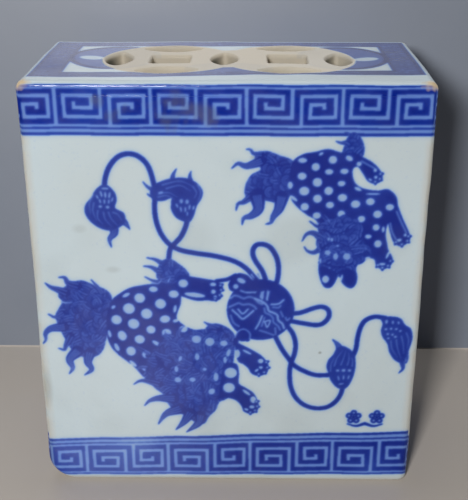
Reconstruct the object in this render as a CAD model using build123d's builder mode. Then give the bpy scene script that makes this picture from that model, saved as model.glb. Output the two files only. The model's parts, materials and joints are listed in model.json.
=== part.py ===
from build123d import *
import os

# A hollow rectangular porcelain brush holder, put together from slabs of clay.
# The base slab lies flat, four mitred wall slabs stand on it, and a pierced slab
# closes the top. Soft clay coils are pressed into the inside angles of the joints.
# Frame: X runs along the width, -Y is the front, +Z is up. The origin is the
# centre of the underside, so the holder stands on Z = 0. Millimetres throughout.

# ---- driving dimensions ----
width = 127.0
depth = 63.5
height = 143.5
wall = 5.5
base_thickness = 6.0
top_thickness = 4.5

# ---- outer form: how far each edge is rounded over ----
face_edge_radius = 2.0  # around the outlines of the front and the back
top_end_radius = 3.0  # the two top edges at the ends
foot_left_radius = 7.0  # the foot edge at the left end has slumped
foot_right_radius = 3.0

# ---- the two linked coins cut through the top ----
coin_spacing = 38.5  # between the coins' centres
coins_back = 0.75  # the pair sits a little behind the middle of the top
coin_hole = 13.0  # side of the square hole in each coin
petal_length = 20.5
petal_width = 8.8
petal_offset = 16.8  # from a coin's centre to the middle of its own petals
shared_petal_x = -1.5  # the petal between the coins was cut a little left of centre
petal_tip_radius = 1.3
square_corner_radius = 1.3
opening_lip_radius = 0.9

# ---- luting coils ----
coil_leg = 4.5  # how far a coil reaches along each slab from the inside angle
coil_waist = 1.7  # how far the hollow face of a coil stands off the angle, on each axis

# ---- worked out ----
wall_foot = base_thickness
wall_head = height - top_thickness
inner_width = width - 2 * wall
inner_depth = depth - 2 * wall
os.makedirs("parts", exist_ok=True)


# ---- outer form, which every slab is trimmed to ----
with BuildPart() as outer_form:
    with BuildSketch(Plane.XZ.offset(-depth / 2)) as front_outline:
        with Locations((0, height / 2)):
            Rectangle(width, height)
        corners = front_outline.vertices()
        fillet(corners.group_by(Axis.Y)[-1], top_end_radius)
        foot = front_outline.vertices().group_by(Axis.Y)[0].sort_by(Axis.X)
        fillet(foot[-1], foot_right_radius)
        foot = front_outline.vertices().group_by(Axis.Y)[0].sort_by(Axis.X)
        fillet(foot[0], foot_left_radius)
    extrude(amount=depth)
    front_and_back = outer_form.faces().filter_by(Axis.Y)
    fillet(front_and_back.edges(), face_edge_radius)


def trimmed_slab(name, plan, foot_z, head_z):
    """A slab raised from its plan outline and trimmed to the outer form."""
    with BuildPart() as slab:
        with BuildSketch(Plane.XY.offset(foot_z)):
            Polygon(*plan, align=None)
        extrude(amount=head_z - foot_z)
        add(outer_form.part, mode=Mode.INTERSECT)
    slab.part.label = name
    return slab.part


# ---- four walls, mitred at the corners ----
outer_x, outer_y = width / 2, depth / 2
inner_x, inner_y = inner_width / 2, inner_depth / 2

front_plan = [(-outer_x, -outer_y), (outer_x, -outer_y), (inner_x, -inner_y), (-inner_x, -inner_y)]
back_plan = [(outer_x, outer_y), (-outer_x, outer_y), (-inner_x, inner_y), (inner_x, inner_y)]
left_plan = [(-outer_x, outer_y), (-outer_x, -outer_y), (-inner_x, -inner_y), (-inner_x, inner_y)]
right_plan = [(outer_x, -outer_y), (outer_x, outer_y), (inner_x, inner_y), (inner_x, -inner_y)]

front_slab = trimmed_slab("front_slab", front_plan, wall_foot, wall_head)
back_slab = trimmed_slab("back_slab", back_plan, wall_foot, wall_head)
left_end_slab = trimmed_slab("left_end_slab", left_plan, wall_foot, wall_head)
right_end_slab = trimmed_slab("right_end_slab", right_plan, wall_foot, wall_head)


# ---- base ----
full_plan = [(-outer_x, -outer_y), (outer_x, -outer_y), (outer_x, outer_y), (-outer_x, outer_y)]
base_slab = trimmed_slab("base_slab", full_plan, 0, wall_foot)


# ---- pierced top ----
# Each coin is a square hole with four petals round it. The coins share the petal between
# them, so there are three upright petals along the middle line and two pairs lying across it.
coin_centres = [(side * coin_spacing / 2, coins_back) for side in (-1, 1)]
upright_petals = [(side * (coin_spacing / 2 + petal_offset), coins_back) for side in (-1, 1)]
upright_petals.append((shared_petal_x, coins_back))
lying_petals = [(x, y + side * petal_offset) for x, y in coin_centres for side in (-1, 1)]

with BuildSketch() as petal:
    with BuildLine():
        ThreePointArc((-petal_length / 2, 0), (0, petal_width / 2), (petal_length / 2, 0))
        ThreePointArc((petal_length / 2, 0), (0, -petal_width / 2), (-petal_length / 2, 0))
    make_face()
    fillet(petal.vertices(), petal_tip_radius)

with BuildPart() as pierced_top_slab:
    with BuildSketch(Plane.XY.offset(wall_head)):
        Rectangle(width, depth)
    extrude(amount=top_thickness)
    add(outer_form.part, mode=Mode.INTERSECT)
    with BuildSketch(Plane.XY.offset(wall_head)) as openings:
        with Locations(*upright_petals):
            add(petal.sketch, rotation=90)
        with Locations(*lying_petals):
            add(petal.sketch)
        with Locations(*coin_centres):
            RectangleRounded(coin_hole, coin_hole, square_corner_radius)
    extrude(amount=top_thickness, mode=Mode.SUBTRACT)
    top_face = pierced_top_slab.faces().sort_by(Axis.Z)[-1]
    lips = [edge for wire in top_face.inner_wires() for edge in wire.edges()]
    fillet(lips, opening_lip_radius)
pierced_top_slab.part.label = "pierced_top_slab"


# ---- coils pressed into the inside angles ----
def coil_profile():
    """The cross-section of a coil in the corner of the first quadrant, hollowed by a finger."""
    with BuildSketch() as profile:
        with BuildLine():
            Line((0, 0), (coil_leg, 0))
            ThreePointArc((coil_leg, 0), (coil_waist, coil_waist), (0, coil_leg))
            Line((0, coil_leg), (0, 0))
        make_face()
    return profile.sketch


inside_angles = [
    Location((-inner_x, -inner_y, 0), (0, 0, 0)),
    Location((inner_x, -inner_y, 0), (0, 0, 90)),
    Location((inner_x, inner_y, 0), (0, 0, 180)),
    Location((-inner_x, inner_y, 0), (0, 0, 270)),
]

with BuildPart() as corner_coils:
    with BuildSketch(Plane.XY.offset(wall_foot)):
        with Locations(*inside_angles):
            add(coil_profile())
    extrude(amount=wall_head - wall_foot)
corner_coils.part.label = "corner_coils"

with BuildPart() as base_coil:
    with BuildLine() as foot_of_walls:
        Polyline(
            (0, -inner_y, wall_foot),
            (inner_x, -inner_y, wall_foot),
            (inner_x, inner_y, wall_foot),
            (-inner_x, inner_y, wall_foot),
            (-inner_x, -inner_y, wall_foot),
            (0, -inner_y, wall_foot),
        )
    coil_plane = Plane(origin=(0, -inner_y, wall_foot), x_dir=(0, 1, 0), z_dir=(1, 0, 0))
    with BuildSketch(coil_plane):
        add(coil_profile())
    sweep(path=foot_of_walls.wires()[0], transition=Transition.RIGHT)
    add(corner_coils.part, mode=Mode.SUBTRACT)
base_coil.part.label = "base_coil"


# ---- one file per piece ----
pieces = [
    front_slab,
    back_slab,
    left_end_slab,
    right_end_slab,
    base_slab,
    pierced_top_slab.part,
    corner_coils.part,
    base_coil.part,
]
for piece in pieces:
    export_step(piece, f"parts/{piece.label}.step")
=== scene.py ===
"""A slab-built porcelain brush holder, printed in cobalt blue under a clear glaze.

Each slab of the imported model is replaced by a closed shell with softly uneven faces. The print is
drawn here stroke by stroke, in millimetres on each face, and stored on the shells as the strength
of the cobalt at each point, which the glaze material turns into colour.
"""
import json
import math

import bpy
import numpy as np
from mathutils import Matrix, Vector
from mathutils.geometry import delaunay_2d_cdt


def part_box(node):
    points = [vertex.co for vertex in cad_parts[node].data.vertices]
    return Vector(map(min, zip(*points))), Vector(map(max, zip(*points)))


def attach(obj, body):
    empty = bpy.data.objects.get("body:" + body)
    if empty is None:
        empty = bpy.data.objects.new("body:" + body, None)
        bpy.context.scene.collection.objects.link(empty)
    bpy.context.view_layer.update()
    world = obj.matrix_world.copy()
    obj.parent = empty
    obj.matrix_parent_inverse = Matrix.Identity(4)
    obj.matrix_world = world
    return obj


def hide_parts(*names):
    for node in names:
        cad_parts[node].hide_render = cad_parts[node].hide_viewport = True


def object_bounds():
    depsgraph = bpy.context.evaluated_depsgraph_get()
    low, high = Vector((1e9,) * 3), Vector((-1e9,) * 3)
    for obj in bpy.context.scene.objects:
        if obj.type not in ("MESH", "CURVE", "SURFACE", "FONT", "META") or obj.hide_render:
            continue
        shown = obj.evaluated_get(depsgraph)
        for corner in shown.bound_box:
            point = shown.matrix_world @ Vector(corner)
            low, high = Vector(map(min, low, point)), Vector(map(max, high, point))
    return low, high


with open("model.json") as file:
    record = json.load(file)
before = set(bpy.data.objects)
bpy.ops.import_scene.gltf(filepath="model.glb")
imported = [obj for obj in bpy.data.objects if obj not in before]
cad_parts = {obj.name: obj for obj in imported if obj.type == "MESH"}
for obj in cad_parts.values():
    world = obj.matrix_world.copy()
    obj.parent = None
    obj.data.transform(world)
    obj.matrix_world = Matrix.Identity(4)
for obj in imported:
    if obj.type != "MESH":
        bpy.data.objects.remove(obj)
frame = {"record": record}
cad_low, cad_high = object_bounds()

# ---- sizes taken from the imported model, in millimetres ----
MM = 0.001
WIDTH, DEPTH, HEIGHT = ((high - low) / MM for low, high in zip(cad_low, cad_high))
WALL = (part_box("front_slab")[1].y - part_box("front_slab")[0].y) / MM
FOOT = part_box("base_slab")[1].z / MM
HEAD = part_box("pierced_top_slab")[0].z / MM
COIL = (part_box("base_coil")[1].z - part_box("base_coil")[0].z) / MM

# ---- shape of the shells ----
EDGE_RADIUS = 2.0
TOP_END_RADIUS = 3.0
FOOT_LEFT_RADIUS = 9.5
FOOT_RIGHT_RADIUS = 3.0
LIP_RADIUS = 0.9
PRINT_STEP = 0.3  # between neighbouring points of a printed face
EDGE_STEPS = 9  # rows of points round each edge, on either side of its middle
TAPER = 0.007  # how much narrower the foot is than the head
UNEVENNESS = 0.18  # how far the hand-made faces wander in and out
SEED = 11

# ---- painting ----
PAINT_CELL = 0.125  # side of a cell of the painted sheets
BARE, PALE, WASH, INK = 0.0, 0.14, 0.3, 1.0  # strengths of cobalt
SMOOTH_STEPS = 8  # points of a rounded curve for each given point
STRAND = 0.36  # width of a single hair
STRAND_TONE = 0.52
PRINT_SEED, TOP_SEED = 7, 9


def smooth(points, closed=False):
    """A rounded curve through a few points (Catmull-Rom)."""
    p = np.array(points, float)
    before, after = (p[-1:], p[:2]) if closed else (2 * p[:1] - p[1:2], 2 * p[-1:] - p[-2:-1])
    p = np.vstack([before, p, after])
    t = np.linspace(0, 1, SMOOTH_STEPS, endpoint=False)[:, None]
    pieces = []
    for a, b, c, d in zip(p, p[1:], p[2:], p[3:]):
        bend = 2 * a - 5 * b + 4 * c - d
        twist = 3 * b - a - 3 * c + d
        pieces.append(b + 0.5 * t * (c - a + t * (bend + t * twist)))
    if not closed:
        pieces.append(p[-2:-1])
    return np.vstack(pieces)


class Sheet:
    """One face of the pot as a fine grid of cobalt strength, in millimetres: x from the middle, z up."""

    def __init__(self, width, height):
        self.width, self.height = width, height
        columns, rows = round(width / PAINT_CELL), round(height / PAINT_CELL)
        self.tone = np.zeros((rows, columns), np.float32)

    def cells(self, points):
        """Millimetres to cell numbers, counted from the first cell's middle."""
        p = np.array(points, float)
        return (p + [self.width / 2, 0]) / PAINT_CELL - 0.5

    def fill(self, outline, tone, rounded=True):
        """Lays an even tone inside a closed outline, and returns where."""
        p = self.cells(smooth(outline, closed=True) if rounded else outline)
        rows_all, columns_all = self.tone.shape
        toggle = np.zeros((rows_all, columns_all + 1), np.int16)
        for (xa, za), (xb, zb) in zip(p, np.roll(p, -1, axis=0)):
            rows = np.arange(max(0, math.ceil(min(za, zb))), min(rows_all, math.ceil(max(za, zb))))
            if len(rows):
                crossing = np.ceil(xa + (rows - za) * (xb - xa) / (zb - za)).astype(int)
                np.add.at(toggle, (rows, crossing.clip(0, columns_all)), 1)
        inside = np.cumsum(toggle, axis=1)[:, :-1] % 2 == 1
        self.tone[inside] = tone
        return inside

    def spot(self, x, z, rx, tone, rz=None, turn=0.0):
        """One dab, round or oval."""
        (column, row), reach = self.cells((x, z)), math.ceil(max(rx, rz or rx) / PAINT_CELL) + 1
        r0, c0 = max(0, int(row) - reach), max(0, int(column) - reach)
        window = self.tone[r0 : int(row) + reach + 2, c0 : int(column) + reach + 2]
        if not window.size:
            return
        dz, dx = np.indices(window.shape) - np.array([row - r0, column - c0])[:, None, None]
        if turn:
            c, s = math.cos(math.radians(turn)), math.sin(math.radians(turn))
            dx, dz = c * dx + s * dz, c * dz - s * dx
        window[(dx / rx) ** 2 + (dz / (rz or rx)) ** 2 <= PAINT_CELL**-2] = tone

    def dabs(self, spots, tone, size=1.0):
        """Several dabs. Each is x, z and a radius, with a second radius and a turn if it's oval."""
        for x, z, rx, *oval in spots:
            rz, turn = [*oval, *(rx, 0)[len(oval):]]
            self.spot(x, z, size * rx, tone, size * rz, turn)

    def stroke(self, path, width, tone, tip=None, rounded=True):
        """A brush stroke along a path, from one width to another."""
        p = smooth(path) if rounded else np.array(path, float)
        lengths = np.concatenate([[0], np.cumsum(np.hypot(*np.diff(p, axis=0).T))])
        marks = np.linspace(0, lengths[-1], max(2, math.ceil(lengths[-1] / 0.2)))
        tip = width if tip is None else tip
        for x, z, share in zip(
            np.interp(marks, lengths, p[:, 0]), np.interp(marks, lengths, p[:, 1]), marks / lengths[-1]
        ):
            self.spot(x, z, (width + (tip - width) * share) / 2, tone)

    def strokes(self, paths, width, tone, tip=None):
        """Several strokes alike."""
        for path in paths:
            self.stroke(path, width, tone, tip)

    def bar(self, start, end, width, tone):
        """A straight line with square ends that reach half its width past each end."""
        (xa, za), (xb, zb) = start, end
        length = math.hypot(xb - xa, zb - za)
        ax, az = (xb - xa) / length * width / 2, (zb - za) / length * width / 2
        corners = [(xa - ax - az, za - az + ax), (xb + ax - az, zb + az + ax)]
        corners += [(xb + ax + az, zb + az - ax), (xa - ax + az, za - az - ax)]
        self.fill(corners, tone, rounded=False)

    def lock(self, path, width, tip=0.35):
        """A flame-like lock of hair: a tapering dark stroke with fine paler strands along it."""
        self.stroke(path, width, INK, tip)
        p = smooth(path)
        along = np.gradient(p, axis=0)
        across = np.column_stack([-along[:, 1], along[:, 0]]) / np.hypot(*along.T)[:, None]
        taper = np.linspace(width, tip, len(p))[:, None] / 2
        count = max(1, round(width / 1.2))
        end = round(len(p) * 0.84)
        for k in range(count):
            side = 0 if count == 1 else (2 * k / (count - 1) - 1) * 0.45
            self.stroke((p + across * taper * side)[:end], 1.2 * STRAND, 0.6, STRAND / 2, rounded=False)

    def locks(self, *pairs):
        """Several locks, each a path and a width."""
        for path, width in pairs:
            self.lock(path, width)

    def wisp(self, x, z, heading, length, bend):
        """A few fine hairs side by side that curve off in one direction."""
        turns = heading + bend * np.linspace(0, 1, 5)
        path = np.cumsum(length / 5 * np.column_stack([np.cos(turns), np.sin(turns)]), axis=0) + (x, z)
        aside = np.array([-math.sin(heading), math.cos(heading)])
        for offset, tone in ((-0.5, INK), (0, STRAND_TONE), (0.5, INK), (0.95, 0.66)):
            self.stroke(path + offset * aside, 1.2 * STRAND, tone, STRAND / 2)

    def scallop(self, x, z, radius, heading, tone):
        """One curl of fur: a dark rim round fine arcs, open towards its root."""
        self.spot(x, z, radius, 0.92)
        for share, shade, sweep in ((1, INK, 1.9), (0.72, tone, 1.5), (0.4, tone, 1.4), (0.1, INK, 0.5)):
            angle = heading + np.linspace(-sweep, sweep, 7)
            arc = np.column_stack([x + radius * share * np.cos(angle), z + radius * share * np.sin(angle)])
            self.stroke(arc, STRAND, shade, STRAND * 0.7)

    def fur(self, outline, root, rng, size=1.7, spill=None):
        """A mass of curls inside an outline, row over row towards a root. They may spill over a mask."""
        inside = self.fill(outline, 0.9)
        kept = self.tone.copy()
        low, high = np.min(outline, axis=0), np.max(outline, axis=0)
        columns = np.arange(low[0], high[0] + size, size * 1.25)
        rows = np.arange(low[1], high[1] + size, size * 1.05)
        places = np.array([(x + (k % 2) * size * 0.62, z) for k, z in enumerate(rows) for x in columns])
        places += rng.uniform(-0.35, 0.35, places.shape) * size
        order = np.argsort(-np.hypot(*(places - root).T))
        limits = np.array(self.tone.shape)[::-1] - 1
        for x, z in places[order]:
            column, row = np.clip(self.cells((x, z)), 0, limits).astype(int)
            heading = math.atan2(z - root[1], x - root[0]) + rng.uniform(-0.6, 0.6)
            radius, tone = size * rng.uniform(0.75, 1.5), rng.uniform(STRAND_TONE, 0.9)
            if not inside[row, column]:
                continue
            if rng.uniform() < 0.55:
                self.scallop(x, z, radius, heading, tone)
            else:
                self.wisp(x, z, heading, size * rng.uniform(2, 3.6), rng.uniform(-1.6, 1.6))
        allowed = inside if spill is None else inside | spill
        self.tone = np.where(allowed, self.tone, kept)

    def fade(self, x, z, reach, strength):
        """Weakens the print softly round a point, as where the transfer hasn't taken well."""
        dz, dx = np.indices(self.tone.shape) * PAINT_CELL - np.array([z, x + self.width / 2])[:, None, None]
        self.tone *= 1 - strength * np.exp(-(dx * dx + dz * dz) / reach**2)

    def at(self, x, z):
        """The finished strength of the cobalt at points on the face."""
        rows, columns = self.ink.shape
        c = np.clip((x + self.width / 2) / PAINT_CELL - 0.5, 0, columns - 1.001)
        r = np.clip(z / PAINT_CELL - 0.5, 0, rows - 1.001)
        c0, r0 = c.astype(int), r.astype(int)
        fc, fr = c - c0, r - r0
        low = self.ink[r0, c0] * (1 - fc) + self.ink[r0, c0 + 1] * fc
        high = self.ink[r0 + 1, c0] * (1 - fc) + self.ink[r0 + 1, c0 + 1] * fc
        return low * (1 - fr) + high * fr

    def blurred(self, radius):
        """The tones spread evenly by about a radius."""
        reach = max(1, round(2.5 * radius / PAINT_CELL))
        weights = np.exp(-0.5 * (np.arange(-reach, reach + 1) * PAINT_CELL / radius) ** 2)
        weights /= weights.sum()
        out = self.tone
        for axis in (0, 1):
            pad = [(reach, reach) if axis == a else (0, 0) for a in (0, 1)]
            padded = np.pad(out, pad, mode="edge")
            length = out.shape[axis]
            parts = (w * np.take(padded, range(i, i + length), axis) for i, w in enumerate(weights))
            out = sum(parts)
        return out.astype(np.float32)


# ---- printed motifs -------------------------------------------------------------------------
CORD = 1.55


def fret_band(sheet, foot, head, tilt, upside_down, phase, period):
    """A key-fret border: a dark strip with pale square spirals, and ruled lines on the picture side."""
    line = 1.2
    half = sheet.width / 2

    def place(u, v):
        if upside_down:
            v = head - foot - v
        slope = tilt * (0.4 + 0.6 * v / (head - foot))
        return (u + 0.1 * math.sin(0.7 * v + 0.4 * u), foot + v + slope * u + 0.1 * math.sin(0.23 * u))

    def strip(low, high, tone):
        run = np.linspace(-half, half, 60)
        edge = [place(u, low) for u in run] + [place(u, high) for u in run[::-1]]
        sheet.fill(edge, tone, rounded=False)

    tall = head - foot
    strip(-0.9, tall + 1.2, WASH)
    strip(0, tall, INK)
    for base in np.arange(phase - 4 * period, half + period, period):
        sheet.bar(place(base, 0), place(base, tall), line, WASH)
        hanging = [
            (13.7, 11), (13.7, 2.3), (2.6, 2.3), (2.6, 8.9), (10.9, 8.9), (10.9, 5.1), (5.7, 5.1),
            (5.7, 6.4),
        ]
        standing = [
            (16.5, 0), (16.5, 8.9), (26.7, 8.9), (26.7, 2.3), (19.2, 2.3), (19.2, 6.3), (23.3, 6.3),
            (23.3, 5.3),
        ]
        for spiral in (hanging, standing):
            corners = [place(base + u, v * tall / 11) for u, v in spiral]
            for start, end in zip(corners, corners[1:]):
                sheet.bar(start, end, line, WASH)
    # ruled lines
    strip(-0.9, -1.5, INK)
    strip(-1.5, -2.6, WASH)
    strip(-2.6, -3.5, INK)
    strip(tall + 0.7, tall + 1.3, INK)


def ball(sheet, x, z, radius):
    """An embroidered ball: a dark disc crossed by a wavy double ribbon, with striped panels beside it."""
    sheet.spot(x, z, radius, INK)
    light, soft = 0.3, 0.46
    waves = (
        ([(-6.9, 7.6), (-4.5, 6.7), (-1.9, 6.3)], 0.55, light),
        (
            [
                (-9.9, 4.2), (-8.6, 5.2), (-7.2, 4.9), (-5.6, 4.2), (-3.9, 4.7), (-2.2, 4.2),
                (-0.8, 2.7), (0.5, 2.1),
            ],
            0.6,
            soft,
        ),
        (
            [(-10.3, 1.1), (-8.6, 1.9), (-7.2, 2.5), (-5.9, 1.9), (-3.9, 2.1), (-2.2, 1.3), (-1.5, 0.4)],
            0.6,
            soft,
        ),
        ([(-9.3, 0), (-7.2, -2.2), (-5.9, -3.3), (-4.2, -2.1), (-2.4, -0.3)], 0.65, light),
        ([(-7.4, 0.2), (-5.9, -1.4), (-4.2, 0.2)], 0.6, light),
        (
            [
                (-1.9, 4.1), (0.5, 3), (2.1, 1.5), (2.7, -0.3), (4.2, -1), (5.5, -1.9), (5.9, -3.8),
                (7.2, -5), (7.8, -6.6),
            ],
            0.7,
            light,
        ),
        (
            [(1.2, 0.6), (1.6, -1), (3.1, -1.8), (4.1, -3), (4.3, -4.5), (5.8, -5.9), (6.5, -7.3)],
            0.55,
            soft,
        ),
        ([(0.1, 4.7), (0.5, 6.2), (0.9, 7.6)], 0.9, light),
        ([(2.7, 8.2), (2.4, 6), (2, 4)], 0.7, light),
        ([(3.5, 2), (5.9, 2.3), (7.5, 3.7)], 0.6, light),
        ([(4, 1), (5.9, 0.9), (6.5, 1.6)], 0.5, soft),
        ([(6.6, -0.6), (7.4, -2.4)], 0.5, soft),
        ([(8.3, -2.8), (8.8, -3.8), (9.6, -3)], 0.5, soft),
        ([(0.5, -2.2), (-0.5, -4.9), (-1.6, -7)], 0.6, light),
        ([(1.3, -2.8), (0.4, -6)], 0.45, soft),
        ([(1.4, -4.3), (3.2, -3.9), (2.2, -6.4), (1.4, -4.3)], 0.5, light),
        ([(4.9, -6.6), (5.1, -9)], 0.5, soft),
        ([(-0.2, -7.6), (2.4, -8.5), (4.4, -9.3)], 0.5, soft),
        ([(-9.9, -2), (-8.9, -4.7), (-7.2, -6)], 0.5, soft),
    )
    for path, width, tone in waves:
        sheet.stroke(np.array(path) * radius / 11.1 + (x, z), 1.25 * width, tone)


def tassel(sheet, outline, dabs, strands, locks):
    """A tassel: a dark outline with pale dabs for the netted cap, fine strands, and trailing locks."""
    sheet.locks(*locks)
    inside = sheet.fill(outline, 0.93)
    kept = sheet.tone.copy()
    sheet.strokes(strands, 1.4 * STRAND, STRAND_TONE, STRAND / 2)
    sheet.tone = np.where(inside, sheet.tone, kept)
    sheet.dabs(dabs, WASH)


def tassels_and_cords(sheet):
    """The cords that loop out from the ball, and the four tassels at their ends."""
    cords = [
        [
            (9.5, 78.5), (6, 82.6), (2, 85.2), (-4, 86.9), (-10, 87.9), (-15, 89), (-18.5, 91),
            (-21, 94.4), (-22.4, 98.5), (-22.9, 103), (-22.6, 108), (-23, 112), (-24.4, 117), (-27, 120),
            (-30.3, 121), (-33.6, 120), (-36.3, 117), (-37.8, 113.5), (-38.4, 110),
        ],
        [(-12.6, 99.5), (-13.3, 96.8), (-14.8, 93.6), (-16.8, 91.3), (-18.3, 89.4), (-18.9, 86)],
        [
            (12.4, 78.5), (11.2, 81.8), (9, 85.3), (8.1, 88.2), (9, 90.6), (11.2, 91.1), (13.7, 90),
            (15.7, 86.8), (16.5, 83), (16.3, 79.3), (15.6, 76),
        ],
        [
            (20.6, 66.4), (24, 66.8), (28, 68.4), (31, 69.1), (33.2, 67.8), (33.3, 65.2), (31.5, 62.9),
            (29, 62.3), (25, 62.9), (20.8, 63.7),
        ],
        [
            (19.6, 62), (21.7, 59), (22.7, 55.2), (22.4, 51.3), (21.3, 47.6), (21, 43.5), (21.5, 38.8),
            (23.2, 34.6), (26.2, 31.6), (30, 30.3), (34, 30.8), (37, 33.1), (38.7, 36.3), (39.2, 39.5),
        ],
        [(16, 57.6), (18, 53.5), (20.2, 50), (22.5, 47), (26, 44.8), (30, 43.4), (35, 43.5)],
        [(41.6, 49.5), (42.9, 53.5), (43.3, 58), (44.1, 61.8), (45.6, 64.3), (48.5, 65.6), (52, 65.2)],
    ]
    sheet.strokes(cords, CORD, INK)
    tassel(
        sheet,
        [
            (-38.5, 111), (-41, 109.3), (-42.8, 106.5), (-44.7, 104), (-44.9, 101.3), (-43.4, 98.6),
            (-40.5, 96.4), (-37, 95.6), (-33.5, 97.2), (-32.3, 99), (-32.7, 101.5), (-35.3, 103.2),
            (-34.8, 105.5), (-35, 107.8), (-36.5, 110),
        ],
        [
            (-38.2, 109.6, 1.2, 0.4), (-39.5, 107.8, 0.4, 1.1, 12), (-38.2, 107.5, 0.4, 1.1),
            (-36.9, 107.4, 0.4, 1.1, -12), (-40.8, 106.8, 0.35, 0.8, 25), (-40, 105.4, 0.35, 0.8, 12),
            (-38.6, 105.3, 0.35, 0.8), (-37.2, 105.3, 0.35, 0.8, -10), (-36.1, 106, 0.3, 0.8, -20),
            (-40, 103.6, 0.6, 0.5), (-37.7, 103.4, 0.65, 0.55),
        ],
        [
            [(-42, 107.5), (-43.4, 104.6), (-43.2, 101)], [(-42, 104.8), (-42.4, 102), (-41.4, 99)],
            [(-40.9, 102.2), (-41, 99.8), (-39.4, 97.6)], [(-39.1, 101.7), (-38.6, 99.3), (-36.8, 97)],
            [(-37.5, 101.7), (-36.8, 99.7), (-35, 97.4)], [(-36.1, 101.7), (-34.6, 101), (-33.4, 99)],
        ],
        [
            ([(-36.5, 97.5), (-36, 94.8), (-37.6, 92.6), (-37.2, 89.9)], 3.4),
            ([(-34.5, 99.5), (-32.6, 98.4), (-31, 96.1)], 3.2),
        ],
    )
    tassel(
        sheet,
        [
            (-13, 98.6), (-16, 100), (-17.6, 102.6), (-17.6, 105.2), (-17.6, 106.6), (-20, 105.7),
            (-22.8, 105.8), (-24, 107.4), (-23.6, 110.3), (-20.4, 112.2), (-16.6, 113.2), (-12.8, 113.2),
            (-9.7, 111.8), (-7.8, 109.3), (-8, 106.8), (-9.6, 104), (-10.5, 101), (-11.6, 99),
        ],
        [
            (-20.8, 108.4, 0.9, 0.45, 15), (-14.4, 105.6, 0.6, 0.8), (-12.6, 105.4, 0.6, 0.8),
            (-15.8, 104.1, 0.35, 0.8, 25), (-14.6, 102.9, 0.35, 0.9, 10), (-13.2, 102.8, 0.35, 0.9),
            (-11.9, 103.6, 0.35, 0.9, -8), (-10.6, 103.4, 0.35, 0.8, -12), (-12.6, 101.4, 0.3, 0.7),
        ],
        [
            [(-21.4, 108), (-18.3, 108.4), (-15.6, 106.9)],
            [(-21.6, 107), (-18.8, 107.4), (-16.6, 106.2)],
            [(-20.2, 111), (-14.7, 112.2), (-10.4, 110.4)], [(-19, 109.8), (-14.7, 110.8), (-11.4, 109)],
            [(-9.2, 111), (-8.3, 108.5), (-9.2, 105.4)], [(-10.6, 110.4), (-9.6, 108.4), (-10.4, 106.4)],
        ],
        [
            ([(-22, 109), (-24.5, 110), (-26.2, 111.9)], 1.8),
            ([(-22, 107.5), (-24, 107.3), (-25, 108)], 1.4),
            ([(-17, 112.5), (-16.7, 114.4), (-15.7, 116.2)], 1.6),
            ([(-11.3, 112), (-11.6, 113.8), (-11.2, 115.4)], 1.5),
        ],
    )
    tassel(
        sheet,
        [
            (39.2, 38), (37, 38.9), (35, 41.4), (34.2, 44), (33.4, 46.6), (33.9, 49.2), (35.4, 51.2),
            (36.5, 53.6), (38.5, 54.6), (41, 53.3), (42.6, 51.3), (43.1, 48), (42.9, 44.6), (42.1, 41.6),
            (40.8, 39),
        ],
        [
            (39.2, 45.3, 0.7, 0.6), (41.2, 45.3, 0.6, 0.55), (37.6, 42.3, 0.9, 0.3, 105),
            (39.3, 42.6, 0.9, 0.3, 90), (41, 42.7, 0.8, 0.3, 80), (38.6, 40.1, 0.9, 0.3, 10),
            (37.2, 45.2, 0.6, 0.5),
        ],
        [
            [(36, 47), (36.8, 50), (38.6, 53)], [(38.2, 47.4), (39, 50), (39.6, 52.8)],
            [(40.4, 47.4), (40.8, 49.6), (40.6, 52)], [(42, 47), (42.1, 48.8), (41.6, 50.4)],
            [(34.8, 45), (34.9, 47.6), (35.8, 50)],
        ],
        [([(38, 52), (36.9, 54.9), (35, 57)], 3.2)],
    )
    tassel(
        sheet,
        [
            (50.6, 65.2), (54, 65.7), (57, 65), (58.7, 62.7), (60.8, 61), (61.5, 57.6), (60.8, 53.8),
            (59.8, 50.3), (58.5, 48.3), (56, 49.6), (54.2, 52.4), (53.3, 55.6), (51.6, 58), (50.9, 60.5),
            (51.3, 63),
        ],
        [
            (52.5, 63.8, 0.5, 0.8), (54.6, 63.6, 0.4, 0.7, 10), (56.5, 63.4, 0.4, 0.6, 20),
            (52.5, 61, 0.5, 0.45), (54.2, 61.2, 0.5, 0.45), (55.9, 61.1, 0.5, 0.45),
            (57.3, 60.4, 0.45, 0.4), (53.2, 59.2, 0.5, 0.45), (54.8, 59, 0.5, 0.45),
            (53.5, 57.6, 0.45, 0.4), (55.8, 58.2, 0.55, 0.45),
        ],
        [
            [(54.4, 56.6), (55, 53.6), (57, 50.4)], [(56.2, 57), (56.8, 54), (58.2, 50)],
            [(57.8, 58.4), (58.6, 55.4), (59, 52)], [(59.4, 59.6), (60.3, 57), (60.1, 54)],
        ],
        [
            ([(58.5, 51), (58.9, 47.9), (59.1, 46), (57.9, 44.4)], 2.6),
            ([(59.6, 53), (60.3, 50), (60.1, 48.3)], 1.8),
        ],
    )


def tail(sheet, core, locks, root, rng):
    """A bushy lion's tail: a mass of curls with flame-like locks round it."""
    sheet.fur(core, root, rng)
    sheet.locks(*locks)


def spotted(sheet, outline, spots):
    """A dark coat with pale spots. Returns where the coat lies."""
    coat = sheet.fill(outline, INK)
    sheet.dabs(spots, PALE, 0.95)
    return coat


def paw(sheet, outline, toes):
    """A dark paw with pale toes."""
    sheet.fill(outline, INK)
    sheet.dabs(toes, PALE, 1.15)


def claws(sheet, places):
    """The claws at a paw's end, each a short dark hook with a pale bead behind it."""
    for x, z, heading in places:
        across, up = math.cos(math.radians(heading)), math.sin(math.radians(heading))
        tip = [(x - 0.6 * across, z - 0.6 * up), (x + 0.1 * across, z + 0.1 * up)]
        sheet.stroke(tip, 1.3, INK, 0.8, rounded=False)
        sheet.spot(x - 0.65 * across, z - 0.65 * up, 0.42, WASH)


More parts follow.
